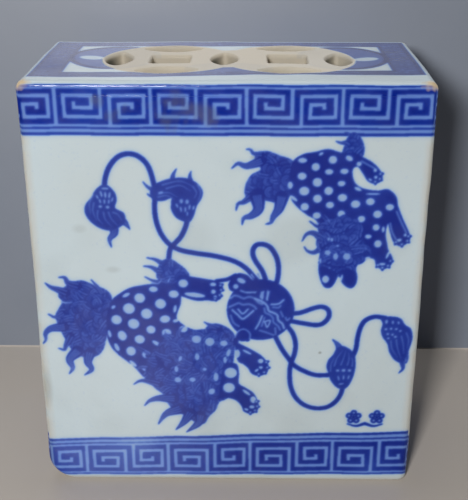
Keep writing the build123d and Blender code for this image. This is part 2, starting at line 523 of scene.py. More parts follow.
def big_lion(sheet, rng):
    """The lion at the left: tail, spotted coat, mane and paws."""
    tail(
        sheet,
        [
            (-38, 71.5), (-39.5, 74.6), (-43.5, 76.4), (-47.5, 78), (-51, 77), (-54, 75), (-55.6, 72.4),
            (-54.4, 70.4), (-55.6, 68), (-57, 65.2), (-56.3, 61.5), (-54.6, 57), (-52.3, 52.3),
            (-48.6, 49.7), (-44.6, 50), (-42, 52.4), (-40.6, 57), (-39.3, 63),
        ],
        [
            ([(-49, 76), (-52, 77), (-53, 78.9), (-55, 79)], 3),
            ([(-53, 73.5), (-55.8, 74.7), (-57.8, 75.5), (-59.6, 77)], 3),
            ([(-54.5, 66), (-57.2, 64.6), (-59.4, 65.7)], 2),
            ([(-54.5, 61), (-58.8, 60.4), (-60.8, 58.6), (-60.9, 56.3), (-61.9, 54.8)], 3.4),
            ([(-52.5, 57.5), (-54.2, 54.3), (-55, 52.5), (-56.9, 53)], 2.8),
            ([(-50.5, 52), (-53.4, 48.8), (-52.6, 45.6), (-53.9, 43.3)], 4.2),
            ([(-46.5, 51.3), (-47.3, 47.8), (-46.2, 45), (-48.7, 42.8)], 3.8),
            ([(-41, 73.5), (-42.8, 76.3), (-44.4, 78.3)], 1.8),
        ],
        (-39, 65),
        rng,
    )
    sheet.stroke([(-54.6, 70.1), (-53, 69.9), (-51.2, 70.1)], 0.7, 0.25, 0.3)
    # tuft over the neck
    sheet.locks(
        ([(-20.5, 84), (-23.3, 85.7), (-25.9, 86.3)], 1.9),
        ([(-22, 81.3), (-24.5, 83), (-27.1, 83.4)], 2), ([(-20, 77.8), (-24, 78.2), (-26.8, 79.6)], 1.5),
    )
    coat = spotted(
        sheet,
        [
            (-38.3, 70.5), (-35, 73.7), (-31.5, 75.7), (-27, 76.7), (-22, 77.4), (-16, 79), (-14, 76),
            (-15.2, 72.5), (-15.4, 70), (-16.4, 67.3), (-16.8, 64.8), (-14.6, 62.2), (-11, 60.4),
            (-6, 60), (0, 52), (-6, 40), (-18, 37.5), (-27, 41), (-31, 45.4), (-34, 48.3), (-37, 51),
            (-39.2, 54), (-40.3, 58), (-40.2, 64),
        ],
        [
            (-28.8, 72, 1.9), (-32.5, 68.1, 2.1), (-36.8, 63.9, 1.9), (-22, 70, 1.95),
            (-26.7, 66.3, 2.05), (-31.2, 62.5, 2.05), (-35.2, 58, 1.6, 2, 15), (-17.6, 73.5, 1.8, 1.5),
            (-20.7, 64.4, 1.9, 1.5, 15), (-25.5, 60.4, 1.65), (-29.4, 56.7, 1.85, 1.75),
            (-32.5, 52.2, 1.75, 1.9), (-20.3, 59.2, 1.7), (-14.7, 60.7, 1.5, 1.3),
            (-24.2, 75.2, 1.6, 1.1), (-33.2, 73, 1.5, 0.7, 30), (-37.2, 53.6, 0.8, 1.7, 20),
            (-39.4, 58.6, 0.6, 1.5, 10), (-32, 47.4, 1.7, 0.7, -45), (-27.8, 45.3, 1.8, 0.9, -30),
            (-17.3, 68.2, 0.6, 1.5, -10), (-17.2, 63.8, 1, 0.7, 20), (-23.9, 55.3, 1.7, 0.8, -35),
            (-27.4, 51, 1.5), (-14.5, 77.4, 1.4), (-37.6, 68.6, 0.9, 0.6, 40),
        ],
    )
    sheet.spot(-26.9, 50.5, 0.8, INK)
    sheet.spot(-19.9, 58.8, 0.7, WASH)
    tuft = [
        (-22.8, 79), (-22.6, 82.5), (-21, 85.2), (-18.6, 86), (-16, 84.4), (-13.4, 82.2), (-12.5, 79.6),
        (-16, 78.4), (-19, 77),
    ]
    sheet.fur(tuft, (-14, 79), rng, 1.3)
    sheet.stroke([(-24.5, 77.4), (-22.5, 77.3), (-21.4, 78.7)], 0.7, WASH, 0.3)
    sheet.stroke([(-19.3, 77.9), (-18.6, 79.4)], 0.6, WASH, 0.3)
    # upper paw reaching for the ball
    paw(
        sheet,
        [
            (-16, 80), (-11, 79.5), (-7, 78.8), (-4, 78.2), (-2.2, 77), (-1.4, 75.2), (-2.3, 73.6),
            (-2.2, 71.8), (-4.4, 71), (-6.8, 71.3), (-9.5, 71.1), (-13, 72), (-16, 74),
        ],
        [
            (-4.7, 76.9, 0.9, 0.6), (-4.6, 74.3, 0.7), (-4, 72.4, 0.5), (-10.7, 73.2, 3, 0.75, -8),
            (-14.4, 77.3, 1.4, 1.3),
        ],
    )
    claws(sheet, [(-1.7, 76.8, 20), (-1.5, 74.8, -10), (-2, 72.8, -25), (-3.8, 71.2, -60)])
    # mane and lower flames
    mane = [
        (-27.4, 42), (-25, 38.2), (-22, 35.4), (-20.6, 32), (-18.4, 29), (-14.6, 27), (-11.4, 24.5),
        (-8.3, 23.8), (-6.6, 26.6), (-4.2, 29.3), (-2.9, 32.5), (0.4, 35), (1.6, 45), (2.4, 54),
        (2.4, 58), (0.4, 60.9), (-3.6, 62.7), (-6.8, 61.6), (-10, 57.8), (-16, 58), (-21.5, 56),
        (-25, 52), (-27.6, 47),
    ]
    sheet.fur(mane, (-6, 46), rng, 1.6, coat)
    sheet.locks(
        ([(-9.5, 27), (-10.3, 24), (-14.4, 20.4)], 4),
        ([(-13, 28), (-15.2, 24.6), (-18.1, 21.3)], 4),
        ([(-16.5, 29.8), (-21, 28), (-23, 25.6), (-24.2, 23.5)], 4),
        ([(-18.5, 33.8), (-23.5, 34), (-26.8, 33), (-28.7, 31)], 3.8),
        ([(-23.5, 39.6), (-28, 40.8), (-30.3, 40.6), (-32.1, 39.4)], 2.8),
        ([(-3, 61), (-6, 62.2), (-7.8, 63.3)], 2.4),
    )
    sheet.strokes(
        [
            [(-24, 50), (-21.5, 46), (-17, 44.6)], [(-14, 55.5), (-11, 50), (-12.5, 45)],
            [(-6, 52), (-4, 47), (-6.8, 43)], [(-9, 39), (-8, 33), (-10, 28)],
            [(-15, 38), (-14.6, 33), (-17, 30)], [(-5.6, 60.5), (-2.4, 60.3), (0.6, 57.8)],
        ],
        0.9,
        INK,
        0.4,
    )
    sheet.dabs([
        (-10.4, 56.9, 1.6, 1.5), (-6, 55.9, 1.6), (-1.3, 55.3, 1.3, 1.1), (-16, 49.5, 0.6, 1.1, -20),
        (-17.4, 45.4, 0.7, 1.2), (-10.3, 50.2, 0.8, 1.4), (-17, 41.3, 1.15, 1.1), (-12, 41.4, 1.1, 0.9),
        (-7.8, 45.4, 0.7, 0.6), (-4, 42.4, 0.9, 1.7), (-5.5, 36.7, 1.1, 1.3, -40),
        (0.3, 51.8, 0.7, 1.5, -15),
        (3.1, 51.3, 0.8, 1.3), (-0.9, 49, 0.6, 1.3),
    ], 0.22)
    paw(
        sheet,
        [
            (2.6, 55.4), (5, 54.6), (8.5, 52.6), (11.6, 50.4), (13.3, 48), (13.8, 46.4), (13.2, 44),
            (10.8, 42.9), (8.2, 43.7), (6.9, 45.9), (5.4, 47.3), (3.3, 49),
        ],
        [
            (11.1, 48.6, 0.85, 0.8), (11.2, 46.1, 0.6, 0.5), (9.8, 45, 0.7, 0.4, 40),
            (6.5, 52, 1.5, 0.4, -30), (3.3, 51.4, 0.8, 1.4),
        ],
    )
    claws(sheet, [(13.6, 48.4, 20), (14, 46, -10), (12.8, 43.8, -45), (10.6, 42.9, -80)])
    paw(
        sheet,
        [
            (-1, 47), (2.8, 47.5), (3.8, 44), (3.7, 40), (6, 38.2), (8.6, 36.2), (10.1, 33.5),
            (10.6, 31), (10, 28.8), (8, 27.8), (5.5, 28.8), (4.7, 31), (2.8, 33.2), (0, 34.2),
            (-2.6, 34), (-2.6, 40),
        ],
        [
            (8.7, 33.4, 0.9, 1.2), (8.3, 30.5, 0.8, 0.6), (6.4, 29.5, 0.7, 0.4, -20),
            (6.4, 36.3, 1.5, 0.5, -40), (1, 44, 1.85, 1.8), (0.4, 38.2, 1.8, 1.7),
        ],
    )
    claws(sheet, [(10.5, 32.8, 10), (10.7, 30.6, -15), (9.8, 28.6, -50), (7.8, 27.7, -85)])


def small_lion(sheet, rng):
    """The lion at the upper right, drawn like the big one."""
    tail(
        sheet,
        [
            (20.6, 118.4), (16, 120.7), (12, 122), (9, 121), (8.6, 118.6), (10.4, 116.2), (7.6, 114.4),
            (5.8, 111.3), (5.6, 107.6), (8, 105.6), (12, 105.9), (16, 105.2), (19.2, 106.8), (20.4, 112),
        ],
        [
            ([(10.5, 121), (8.2, 121.2), (7.2, 122.4), (5.9, 122.6)], 1.8),
            ([(10.5, 118.8), (6, 117.2), (3.4, 118), (1.4, 116.4)], 3.2),
            ([(8, 107.8), (5.2, 105.4), (3.4, 104.8), (2.8, 102.6)], 2.6),
            ([(9.3, 107.5), (9.8, 103.2), (7.6, 100.8), (5.2, 100), (4.7, 97.8)], 4.8),
            ([(17, 107), (16.2, 103.2), (14.6, 100.7), (13.8, 98.6), (12.2, 98)], 4.4),
        ],
        (20, 112),
        rng,
    )
    # tuft over the shoulders, crossing the ruled lines
    sheet.locks(
        ([(37.5, 125), (35, 124.7), (33.2, 125.2)], 1.7), ([(38, 126), (36.8, 127.6), (35.8, 128)], 1.4),
    )
    sheet.fur(
        [(35.6, 120.5), (36, 124.4), (37, 127), (38.8, 128), (40.9, 126), (42, 122.8), (41, 120)],
        (39, 120),
        rng,
        1.2,
    )
    coat = spotted(
        sheet,
        [
            (20, 118.2), (23, 120.9), (27, 121.8), (31, 122.7), (35, 121.6), (39, 121.6), (42, 120),
            (45, 118.2), (47.5, 115.4), (48, 112.8), (46, 111.6), (43.7, 112.4), (42, 114.9),
            (40.3, 117.1), (38.8, 116.4), (38.9, 113.6), (40.2, 111.2), (43, 109.8), (47, 109.3),
            (50, 109.7), (52.7, 107.4), (53.6, 104), (55.6, 99.4), (57.8, 94.8), (57.9, 92.4),
            (55.5, 90.6), (53, 92), (51.6, 95.5), (50.8, 98.3), (50.2, 95), (51, 91), (51.4, 89.4),
            (53, 86.4), (52.6, 84), (50.2, 82.6), (48, 83.7), (47.2, 86), (45, 86.4), (42.6, 84.4),
            (36, 84), (30, 92), (28.6, 98.6), (25, 101.3), (22, 103.8), (19.8, 107), (19.4, 112),
        ],
        [
            (27.3, 117, 1.4), (32.5, 119.3, 1.4), (23.2, 119.1, 1.5, 0.9), (31.5, 115.4, 1.4, 1),
            (36.2, 115.6, 1.4, 1), (28.8, 121.2, 0.8, 0.5, 30), (37.5, 119.8, 1.3, 0.9, -30),
            (40.6, 118, 0.9, 0.8), (23.2, 114, 1.5, 1.3), (28, 112, 1.6), (24, 109.1, 1.75, 1.6),
            (31.6, 109.2, 1.5), (19.6, 111, 0.9, 1.3), (28.2, 106.6, 1.5), (36, 106.9, 1.6, 1.4),
            (20.8, 106.7, 1.6, 0.6, -40), (24.3, 103.9, 1.4), (32.2, 104.5, 1.4, 1.2),
            (28.2, 101, 1.4, 1.2), (35.9, 101.5, 1.3), (40.2, 104.8, 1.6, 1.4), (44.8, 105.6, 1.5, 1.3),
            (51, 103.8, 1.4, 1.2), (47.3, 101.4, 1.5, 1.4), (42.3, 99.8, 1.3, 1.2),
            (32, 98.9, 1.4, 0.8, 20), (28.6, 98.1, 0.9, 0.5, 20), (47.1, 97, 1.2),
            (49.4, 96.3, 0.5, 1.1), (44.8, 93.9, 1.1, 0.8), (48, 91.4, 1.3, 1.4), (43.2, 89.9, 1.4),
            (44.6, 86.4, 1.4, 0.5, 20), (35.5, 111.6, 1.3, 1), (40.7, 109.8, 1.3, 0.6, -25),
            (56.5, 94.4, 0.5, 0.6), (54.6, 92.6, 1, 0.6, 20), (51.4, 87.6, 0.45, 1.5, -20),
            (49.8, 84.4, 1.2, 0.5), (45.7, 116, 0.6, 0.7), (46, 113.7, 0.6),
            (44.3, 112.9, 0.7, 0.35, -30), (45.5, 108.2, 2.4, 0.35),
        ],
    )
    claws(sheet, [(48, 114.8, 0), (47.8, 112.8, -35), (46, 111.6, -80)])
    claws(sheet, [(58.2, 94, 0), (57.8, 92, -40), (55.7, 90.6, -80), (53.5, 91.4, -110)])
    claws(sheet, [(53, 85.4, -10), (52.1, 83.3, -50), (50, 82.5, -85), (48.1, 83.5, -120)])
    sheet.strokes([[(53.2, 102.4), (54.9, 98.8), (56.8, 95.2)], [(51.5, 98.4), (52.2, 95.6), (53.6, 93)],
                 [(41.3, 118.9), (43.6, 117.6), (46, 116.3)]], 0.45, WASH)
    sheet.locks(
        ([(30, 93), (27.5, 95), (25.2, 94.7), (23.8, 92.3)], 2.4),
        ([(30.5, 90.5), (28, 88.5), (25.8, 88.8), (24.5, 90.3)], 2.2),
    )
    sheet.stroke([(30, 97), (28.2, 97.4), (26, 99.1)], 1, INK, 0.4)
    mane = [
        (28.6, 97.6), (29.2, 94.4), (28.2, 91.6), (29.6, 88.6), (29.3, 85), (29.7, 81.6), (31, 79),
        (35, 80), (36.5, 80), (41, 80.5), (41.6, 83.5), (43.6, 88), (43, 94), (41.4, 98.6), (36, 99.8),
        (31.4, 98.6),
    ]
    sheet.fur(mane, (36, 86), rng, 1.35, coat)
    sheet.strokes(
        [
            [(31, 96), (34.5, 94.6), (38.5, 96.6)], [(30.5, 90), (34, 92), (39, 90.4)],
            [(31, 84.5), (35.5, 83.4), (40.6, 84.5)],
        ],
        0.9,
        INK,
        0.4,
    )
    sheet.dabs(
        [
            (38.3, 87, 1.25, 1.2), (34.7, 87, 0.8, 1.2), (32.1, 88.4, 1, 0.9), (32.8, 82.4, 0.5, 0.9),
            (33.3, 92.8, 0.5, 0.7), (32.2, 93, 0.4, 0.6), (35.2, 90.7, 0.5, 0.4), (29.9, 85.5, 0.35, 1),
        ],
        0.25,
    )
    paw(
        sheet,
        [(29.8, 83.5), (30, 79.3), (31.4, 76.4), (33.4, 76), (35, 78.2), (35.3, 81.5)],
        [(31.8, 79, 1, 1.2)],
    )
    paw(
        sheet,
        [(36.2, 82), (37, 78.2), (38.8, 76.3), (40.6, 76), (41.9, 78.2), (41.2, 82)],
        [(36.9, 79.4, 0.35, 1.2, -10)],
    )


def ribbons(sheet):
    """The bow at the ball's crown and the ribbon held in the big lion's mouth."""
    sheet.fill(
        [
            (0.3, 76.6), (1.4, 79), (3.6, 80.8), (6.4, 80.2), (8.6, 78.4), (14, 78.2), (16.6, 76.8),
            (14, 74.6), (7, 74.4), (1.6, 74.4),
        ],
        INK,
    )
    sheet.stroke([(-3.6, 78.1), (0, 78.7), (2.6, 80.1)], 1.3, INK)
    sheet.spot(4.5, 78.2, 1.5, 0.2, 0.9, -25)
    sheet.spot(2.7, 76.1, 0.9, 0.2, 0.9)
    sheet.strokes(
        [
            [(4.4, 74.6), (6.6, 73.9), (9.3, 74.2)], [(9.9, 80.6), (10.4, 79.3)],
            [(7.8, 80.4), (8.6, 79.2)],
        ],
        0.7,
        WASH,
        0.4,
    )
    sheet.stroke([(11.4, 71.8), (11.7, 74.4)], 0.8, 0.3, 0.5)
    sheet.stroke([(13, 71.4), (13.1, 74.6)], 0.8, 0.3, 0.5)
    sheet.stroke([(2.6, 55), (3.4, 58.3), (5.3, 59.6), (6.8, 58.3), (6.6, 56.8)], 1.6, INK)
    sheet.spot(5.1, 57.6, 1.9, INK, 1.5)
    sheet.stroke([(2.4, 57.6), (3.6, 59.9), (5.6, 60.6), (7.4, 59), (7.4, 57)], 0.45, 0.3)


def sprig(sheet, x, z):
    """Two small plain blossoms joined by leaves, where a mark would sit."""
    for middle in (x - 4, x + 4):
        for angle in range(0, 360, 72):
            px = middle + 1.7 * math.sin(math.radians(angle))
            pz = z + 1.7 * math.cos(math.radians(angle))
            sheet.spot(px, pz, 1.1, INK)
            sheet.spot(px, pz, 0.4, WASH)
        sheet.spot(middle, z, 0.6, INK)
    for side in (-1, 1):
        sheet.stroke([(x, z - 2.6), (x + side * 3, z - 3.6), (x + side * 6, z - 2.8)], 1.2, INK, 0.5)


def draw_picture(sheet, rng):
    """The printed scene of two lions playing with an embroidered ball, between two fret borders."""
    tassels_and_cords(sheet)
    big_lion(sheet, rng)
    ball(sheet, 10.9, 67.7, 11.1)
    ribbons(sheet)
    sprig(sheet, 47.5, 27)
    fret_band(sheet, 130.3, 141.2, 0.0, False, 5.9, 28.85)
    fret_band(sheet, 4.1, 15.6, 0.028, True, 7.83, 28.91)
    small_lion(sheet, rng)
    for x, z, reach, strength in (
        (-50, 9, 15, 0.12), (-36, 13, 9, 0.22), (-22, 10, 8, 0.12), (50, 3, 7, 0.15), (-30, 17, 6, 0.25),
        (-40, 137, 12, 0.08),
    ):
        sheet.fade(x, z, reach, strength)


# ---- the rounded form -----------------------------------------------------------------------
def ripple(points, wavelength, seed):
    """A smooth wandering value near -1 to 1 for each point, from a few seeded waves."""
    rng = np.random.default_rng(seed)
    total = np.zeros(points.shape[:-1])
    for _ in range(6):
        direction = rng.normal(size=3)
        direction *= 2 * math.pi * rng.uniform(0.7, 1.5) / wavelength / np.linalg.norm(direction)
        total += np.sin(points @ direction + rng.uniform(0, 2 * math.pi))
    return total / 2.6


def round_off(points):
    """Moves points from the faces of a sharp box to the pot's rounded and slightly uneven form."""
    x, y, z = np.moveaxis(points, -1, 0)
    foot_radius = np.where(x < 0, FOOT_LEFT_RADIUS, FOOT_RIGHT_RADIUS)
    radius = np.where(z < HEIGHT / 2, foot_radius, TOP_END_RADIUS)
    centre_x = np.clip(x, radius - WIDTH / 2, WIDTH / 2 - radius)
    centre_z = np.clip(z, radius, HEIGHT - radius)
    away = np.hypot(x - centre_x, z - centre_z)
    share = np.minimum(1, (radius - EDGE_RADIUS) / np.maximum(away, 1e-9))
    core = np.stack(
        [
            centre_x + (x - centre_x) * share,
            np.clip(y, EDGE_RADIUS - DEPTH / 2, DEPTH / 2 - EDGE_RADIUS),
            centre_z + (z - centre_z) * share,
        ],
        axis=-1,
    )
    outward = points - core
    outward /= np.linalg.norm(outward, axis=-1, keepdims=True)
    uneven = UNEVENNESS * ripple(core, 55, SEED) + 0.25 * UNEVENNESS * ripple(core, 13, SEED + 1)
    uneven *= np.clip(z / 10, 0, 1)
    form = core + outward * (EDGE_RADIUS + uneven[..., None])
    form[..., 0] *= 1 - TAPER * (1 - z / HEIGHT)
    return form


def ticks(low, high, round_low=0.0, round_high=0.0):
    """Places from low to high, close together round an edge and evenly spaced between."""
    turn = np.tan(np.linspace(0, math.pi / 4, EDGE_STEPS + 1))
    first, last = low + round_low, high - round_high
    middle = np.linspace(first, last, max(2, round((last - first) / PRINT_STEP) + 1))
    start = first - round_low * turn[:0:-1] if round_low else []
    end = last + round_high * turn[1:] if round_high else []
    return np.concatenate([start, middle, end])


def side_points(side, across, up):
    """A grid of points on one face of the sharp box. Across runs to the right as seen from outside."""
    a, b = np.meshgrid(across, up)
    half_width, half_depth = np.full_like(a, WIDTH / 2), np.full_like(a, DEPTH / 2)
    places = {
        "front": (a, -half_depth, b),
        "back": (-a, half_depth, b),
        "left": (-half_width, -a, b),
        "right": (half_width, a, b),
        "top": (a, b - half_depth, np.full_like(a, HEIGHT)),
        "under": (a, half_depth - b, np.zeros_like(a)),
    }
    return np.stack(places[side], axis=-1)


ACROSS_WIDE = ticks(-WIDTH / 2, WIDTH / 2, EDGE_RADIUS, EDGE_RADIUS)
ACROSS_DEEP = ticks(-DEPTH / 2, DEPTH / 2, EDGE_RADIUS, EDGE_RADIUS)
ACROSS = {"front": ACROSS_WIDE, "back": ACROSS_WIDE, "left": ACROSS_DEEP, "right": ACROSS_DEEP}


class Shell:
    """Collects grids and flat faces of one closed piece, then makes its mesh."""

    def __init__(self):
        self.points, self.values, self.faces, self.flat = [], [], [], []
        self.count = 0

    def add_points(self, points, cobalt=0.0, cream=0.0, wear=0.0, stain_and_shade=0.0):
        flat_points = points.reshape(-1, 3)
        values = np.zeros((len(flat_points), 4))
        for column, value in enumerate((cobalt, cream, wear, stain_and_shade)):
            values[:, column] = np.broadcast_to(value, points.shape[:-1]).ravel()
        self.points.append(flat_points)
        self.values.append(values)
        numbers = self.count + np.arange(len(flat_points)).reshape(points.shape[:-1])
        self.count += len(flat_points)
        return numbers

    def add_grid(self, numbers):
        """Smooth quads over a grid of point numbers."""
        corners = (numbers[:-1, :-1], numbers[:-1, 1:], numbers[1:, 1:], numbers[1:, :-1])
        quads = np.stack(corners, axis=-1).reshape(-1, 4)
        self.faces.extend(quads.tolist())
        self.flat.extend([False] * len(quads))

    def add_face(self, numbers, flat=True):
        self.faces.append([int(n) for n in numbers])
        self.flat.append(flat)

    def make(self, name, material, *nodes):
        """Welds the points, makes the object and puts it in the place of its CAD nodes."""
        points = np.concatenate(self.points)
        keys = np.round(points * 2e4).astype(np.int64)
        _, keep, where = np.unique(keys, axis=0, return_index=True, return_inverse=True)
        where = where.ravel()
        welded = [[where[n] for n in face] for face in self.faces]
        mesh = bpy.data.meshes.new(name)
        mesh.from_pydata(points[keep] * MM, [], welded)
        mesh.polygons.foreach_set("use_smooth", np.logical_not(self.flat))
        values = np.concatenate(self.values)[keep].astype(np.float32)
        # the last attribute holds stains, a grey cast on the top's print, and painted shade in the upright
        # petal openings
        for column, label in enumerate(("cobalt", "cream", "wear", "stain_and_shade")):
            attribute = mesh.attributes.new(label, "FLOAT", "POINT")
            attribute.data.foreach_set("value", np.ascontiguousarray(values[:, column]))
        mesh.materials.append(material)
        mesh.update()
        crisp = mesh.attributes.new("sharp_edge", "BOOLEAN", "EDGE")
        for face, flat in zip(mesh.polygons, self.flat):
            if flat:
                for key in face.loop_indices:
                    crisp.data[mesh.loops[key].edge_index].value = True
        piece = bpy.data.objects.new(name, mesh)
        bpy.context.scene.collection.objects.link(piece)
        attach(piece, "root")
        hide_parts(*nodes)
        return piece


# ---- what each face carries -----------------------------------------------------------------
def chips(points):
    """Where the glaze has gone from three of the top corners."""
    places = ((-1, -1, 1, 4.6), (1, -1, 1, 5), (1, 1, 1, 3.5))
    wear = np.zeros(points.shape[:-1])
    rough = ripple(points, 6, SEED + 2) + 0.6 * ripple(points, 2.2, SEED + 3)
    for sx, sy, sz, reach in places:
        corner = np.array([sx * WIDTH / 2, sy * DEPTH / 2, sz * HEIGHT])
        distance = np.linalg.norm((points - corner) * (0.8, 1, 1.5), axis=-1)
        wear = np.maximum(wear, np.clip(1.3 * (1 - distance / reach + 0.14 * rough), 0, 1))
    return wear


def warm_edges(points):
    """Where the glaze runs thin and the clay's cream shows: along the upright edges and at the foot."""
    x, y, z = np.moveaxis(points, -1, 0)
    to_edge = np.maximum(WIDTH / 2 - abs(x), DEPTH / 2 - abs(y))
    patchy = np.clip(0.75 + 0.5 * ripple(points, 25, SEED + 8) + 0.25 * ripple(points, 6, SEED + 9), 0, 1)
    upright = 0.6 * np.clip(1.2 - to_edge / 3, 0, 1) * patchy
    foot = 0.6 * np.clip(1.2 - z / 2.2, 0, 1)
    return np.maximum(upright, foot)


def dirt(side, points):
    """Grey-brown staining: a patch across the front's upper border, and a few faint clouds."""
    x, _, z = np.moveaxis(points, -1, 0)
    rough = ripple(points, 9, SEED + 4) + 0.5 * ripple(points, 3, SEED + 5)
    stain_and_shade = 0.12 * np.clip(ripple(points, 30, SEED + 6) - 0.6, 0, 1)
    if side == "front":
        clouds = (
            (-11, 133.5, 9, 5, 0.5), (-18, 137, 6, 3, 0.45), (-33, 134, 4, 3, 0.4),
            (-39, 138, 3, 3, 0.5), (-47, 96, 3, 2, 0.2), (-37, 82, 3, 1.5, 0.22),
            (31, 52, 0.6, 0.6, 0.7), (-62, 38, 2.5, 9, 0.3), (8, 120, 1.2, 0.8, 0.3),
        )
        for cx, cz, rx, rz, strength in clouds:
            near = 1 - np.hypot((x - cx) / rx, (z - cz) / rz)
            ragged = 0.45 * rough * (strength > 0.35)
            stain_and_shade = np.maximum(stain_and_shade, strength * np.clip(1.5 * near + ragged, 0, 1))
    return stain_and_shade


def printed_patch(shell, side, up, sheet):
    """One printed stretch of a side."""
    sharp = side_points(side, ACROSS[side], up)
    cobalt = sheet.at(*np.meshgrid(ACROSS[side], up))
    numbers = shell.add_points(round_off(sharp), cobalt, warm_edges(sharp), chips(sharp), dirt(side, sharp))
    shell.add_grid(numbers)
    return numbers


def wall(name, node, side, sheet, material):
    """A wall slab: its printed outside, its mitred edges and its plain inside."""
    shell = Shell()
    outside = printed_patch(shell, side, ticks(FOOT, HEAD), sheet)
    reach = ACROSS[side][-1] - WALL
    inner = side_points(side, np.linspace(-reach, reach, 25), np.linspace(FOOT, HEAD, 25))
    inward = {"front": (0, 1, 0), "back": (0, -1, 0), "left": (1, 0, 0), "right": (-1, 0, 0)}[side]
    hollow = np.clip(1.4 * np.sin(np.linspace(0, math.pi, 25)), 0, 1)
    hollow = hollow[:, None] * hollow * (ripple(inner, 25, SEED + 7) * 0.25)
    inside = shell.add_points(inner + np.array(inward) * (WALL + hollow[..., None]), cream=1)
    shell.add_grid(inside[:, ::-1])
    shell.add_face([*outside[::-1, 0], *inside[:, 0]])
    shell.add_face([*outside[:, -1], *inside[::-1, -1]])
    shell.add_face([*outside[0], *inside[0, ::-1]])
    shell.add_face([*outside[-1, ::-1], *inside[-1]])
    return shell.make(name, material, node)


# ---- the pierced top ------------------------------------------------------------------------
def opening_list():
    """Each opening's middle in millimetres and its kind, from the openings that the record states."""
    found = []
    for opening in frame["record"]["physics"]["openings"]:
        low, high = np.array(opening["box_m"]) / MM
        middle, size = (low + high) / 2, high - low
        if "square" in opening["name"]:
            found.append((middle[0], middle[1], "square"))
        elif "petal" in opening["name"]:
            found.append((middle[0], middle[1], "lying" if size[0] > size[1] else "upright"))
    return found


PETAL_HALF_LENGTH, PETAL_HALF_WIDTH, PETAL_TIP = 10.25, 4.4, 1.3
HOLE_HALF, HOLE_CORNER = 6.5, 1.3
SNAP_REACH = PRINT_STEP / 2 * 1.02  # points this near an outline move onto it
OPENINGS = opening_list()
PETAL_BEND = (PETAL_HALF_LENGTH**2 + PETAL_HALF_WIDTH**2) / (2 * PETAL_HALF_WIDTH)


def petal_distance(along, across):
    """Distance to the outline of a petal, less than zero inside it."""
    along, across = abs(along), abs(across)
    offset = PETAL_BEND - PETAL_HALF_WIDTH
    bend = PETAL_BEND - PETAL_TIP
    tip = math.sqrt(bend**2 - offset**2)
    past_tip = (along - tip) * offset > across * tip
    to_tip = np.hypot(across, along - tip)
    to_side = np.hypot(across + offset, along) - bend
    return np.where(past_tip, to_tip, to_side) - PETAL_TIP


def square_distance(u, v):
    """Distance to the outline of a square hole with rounded corners."""
    u, v = abs(u) - HOLE_HALF + HOLE_CORNER, abs(v) - HOLE_HALF + HOLE_CORNER
    outside = np.hypot(np.maximum(u, 0), np.maximum(v, 0))
    return outside + np.minimum(np.maximum(u, v), 0) - HOLE_CORNER


def opening_distance(x, y):
    """Distance to the nearest opening's outline, less than zero in an opening."""
    nearest = np.full_like(x, 1e9)
    for cx, cy, kind in OPENINGS:
        if kind == "square":
            distance = square_distance(x - cx, y - cy)
        elif kind == "lying":
            distance = petal_distance(x - cx, y - cy)
        else:
            distance = petal_distance(y - cy, x - cx)
        nearest = np.minimum(nearest, distance)
    return nearest


def slope(x, y, step=1e-3):
    """Direction in which the distance to the openings grows."""
    gx = opening_distance(x + step, y) - opening_distance(x - step, y)
    gy = opening_distance(x, y + step) - opening_distance(x, y - step)
    length = np.maximum(np.hypot(gx, gy), 1e-12)
    return gx / length, gy / length


def loops(edges):
    """Joins boundary edges, each from point to point, into closed runs."""
    following = dict(edges)
    runs = []
    while following:
        start, current = following.popitem()
        run = [start]
        while current != start:
            run.append(current)
            current = following.pop(current)
        runs.append(run)
    return runs


def grime_and_painted_shade(points):
    """Dirt and painted shade inside the three upright petals: darker to the left, to the front and further
    down.
    """
    x, y, z = np.moveaxis(points, -1, 0)
    grime_and_shade = np.zeros_like(x)
    for cx, cy, kind in OPENINGS:
        if kind == "upright":
            inside = (abs(x - cx) < PETAL_HALF_WIDTH + 1) & (abs(y - cy) < PETAL_HALF_LENGTH + 1)
            depth = np.clip((HEIGHT - z) / 2, 0, 1)
            # painted shade mixed with dirt: strongest on the left and front walls of each upright petal, and
            # deeper in the opening
            gathered = np.clip(0.5 - (x - cx) / 3.5 - (y - cy) / 18, 0, 1.25) * depth
            grime_and_shade = np.where(inside, gathered, grime_and_shade)
    return grime_and_shade


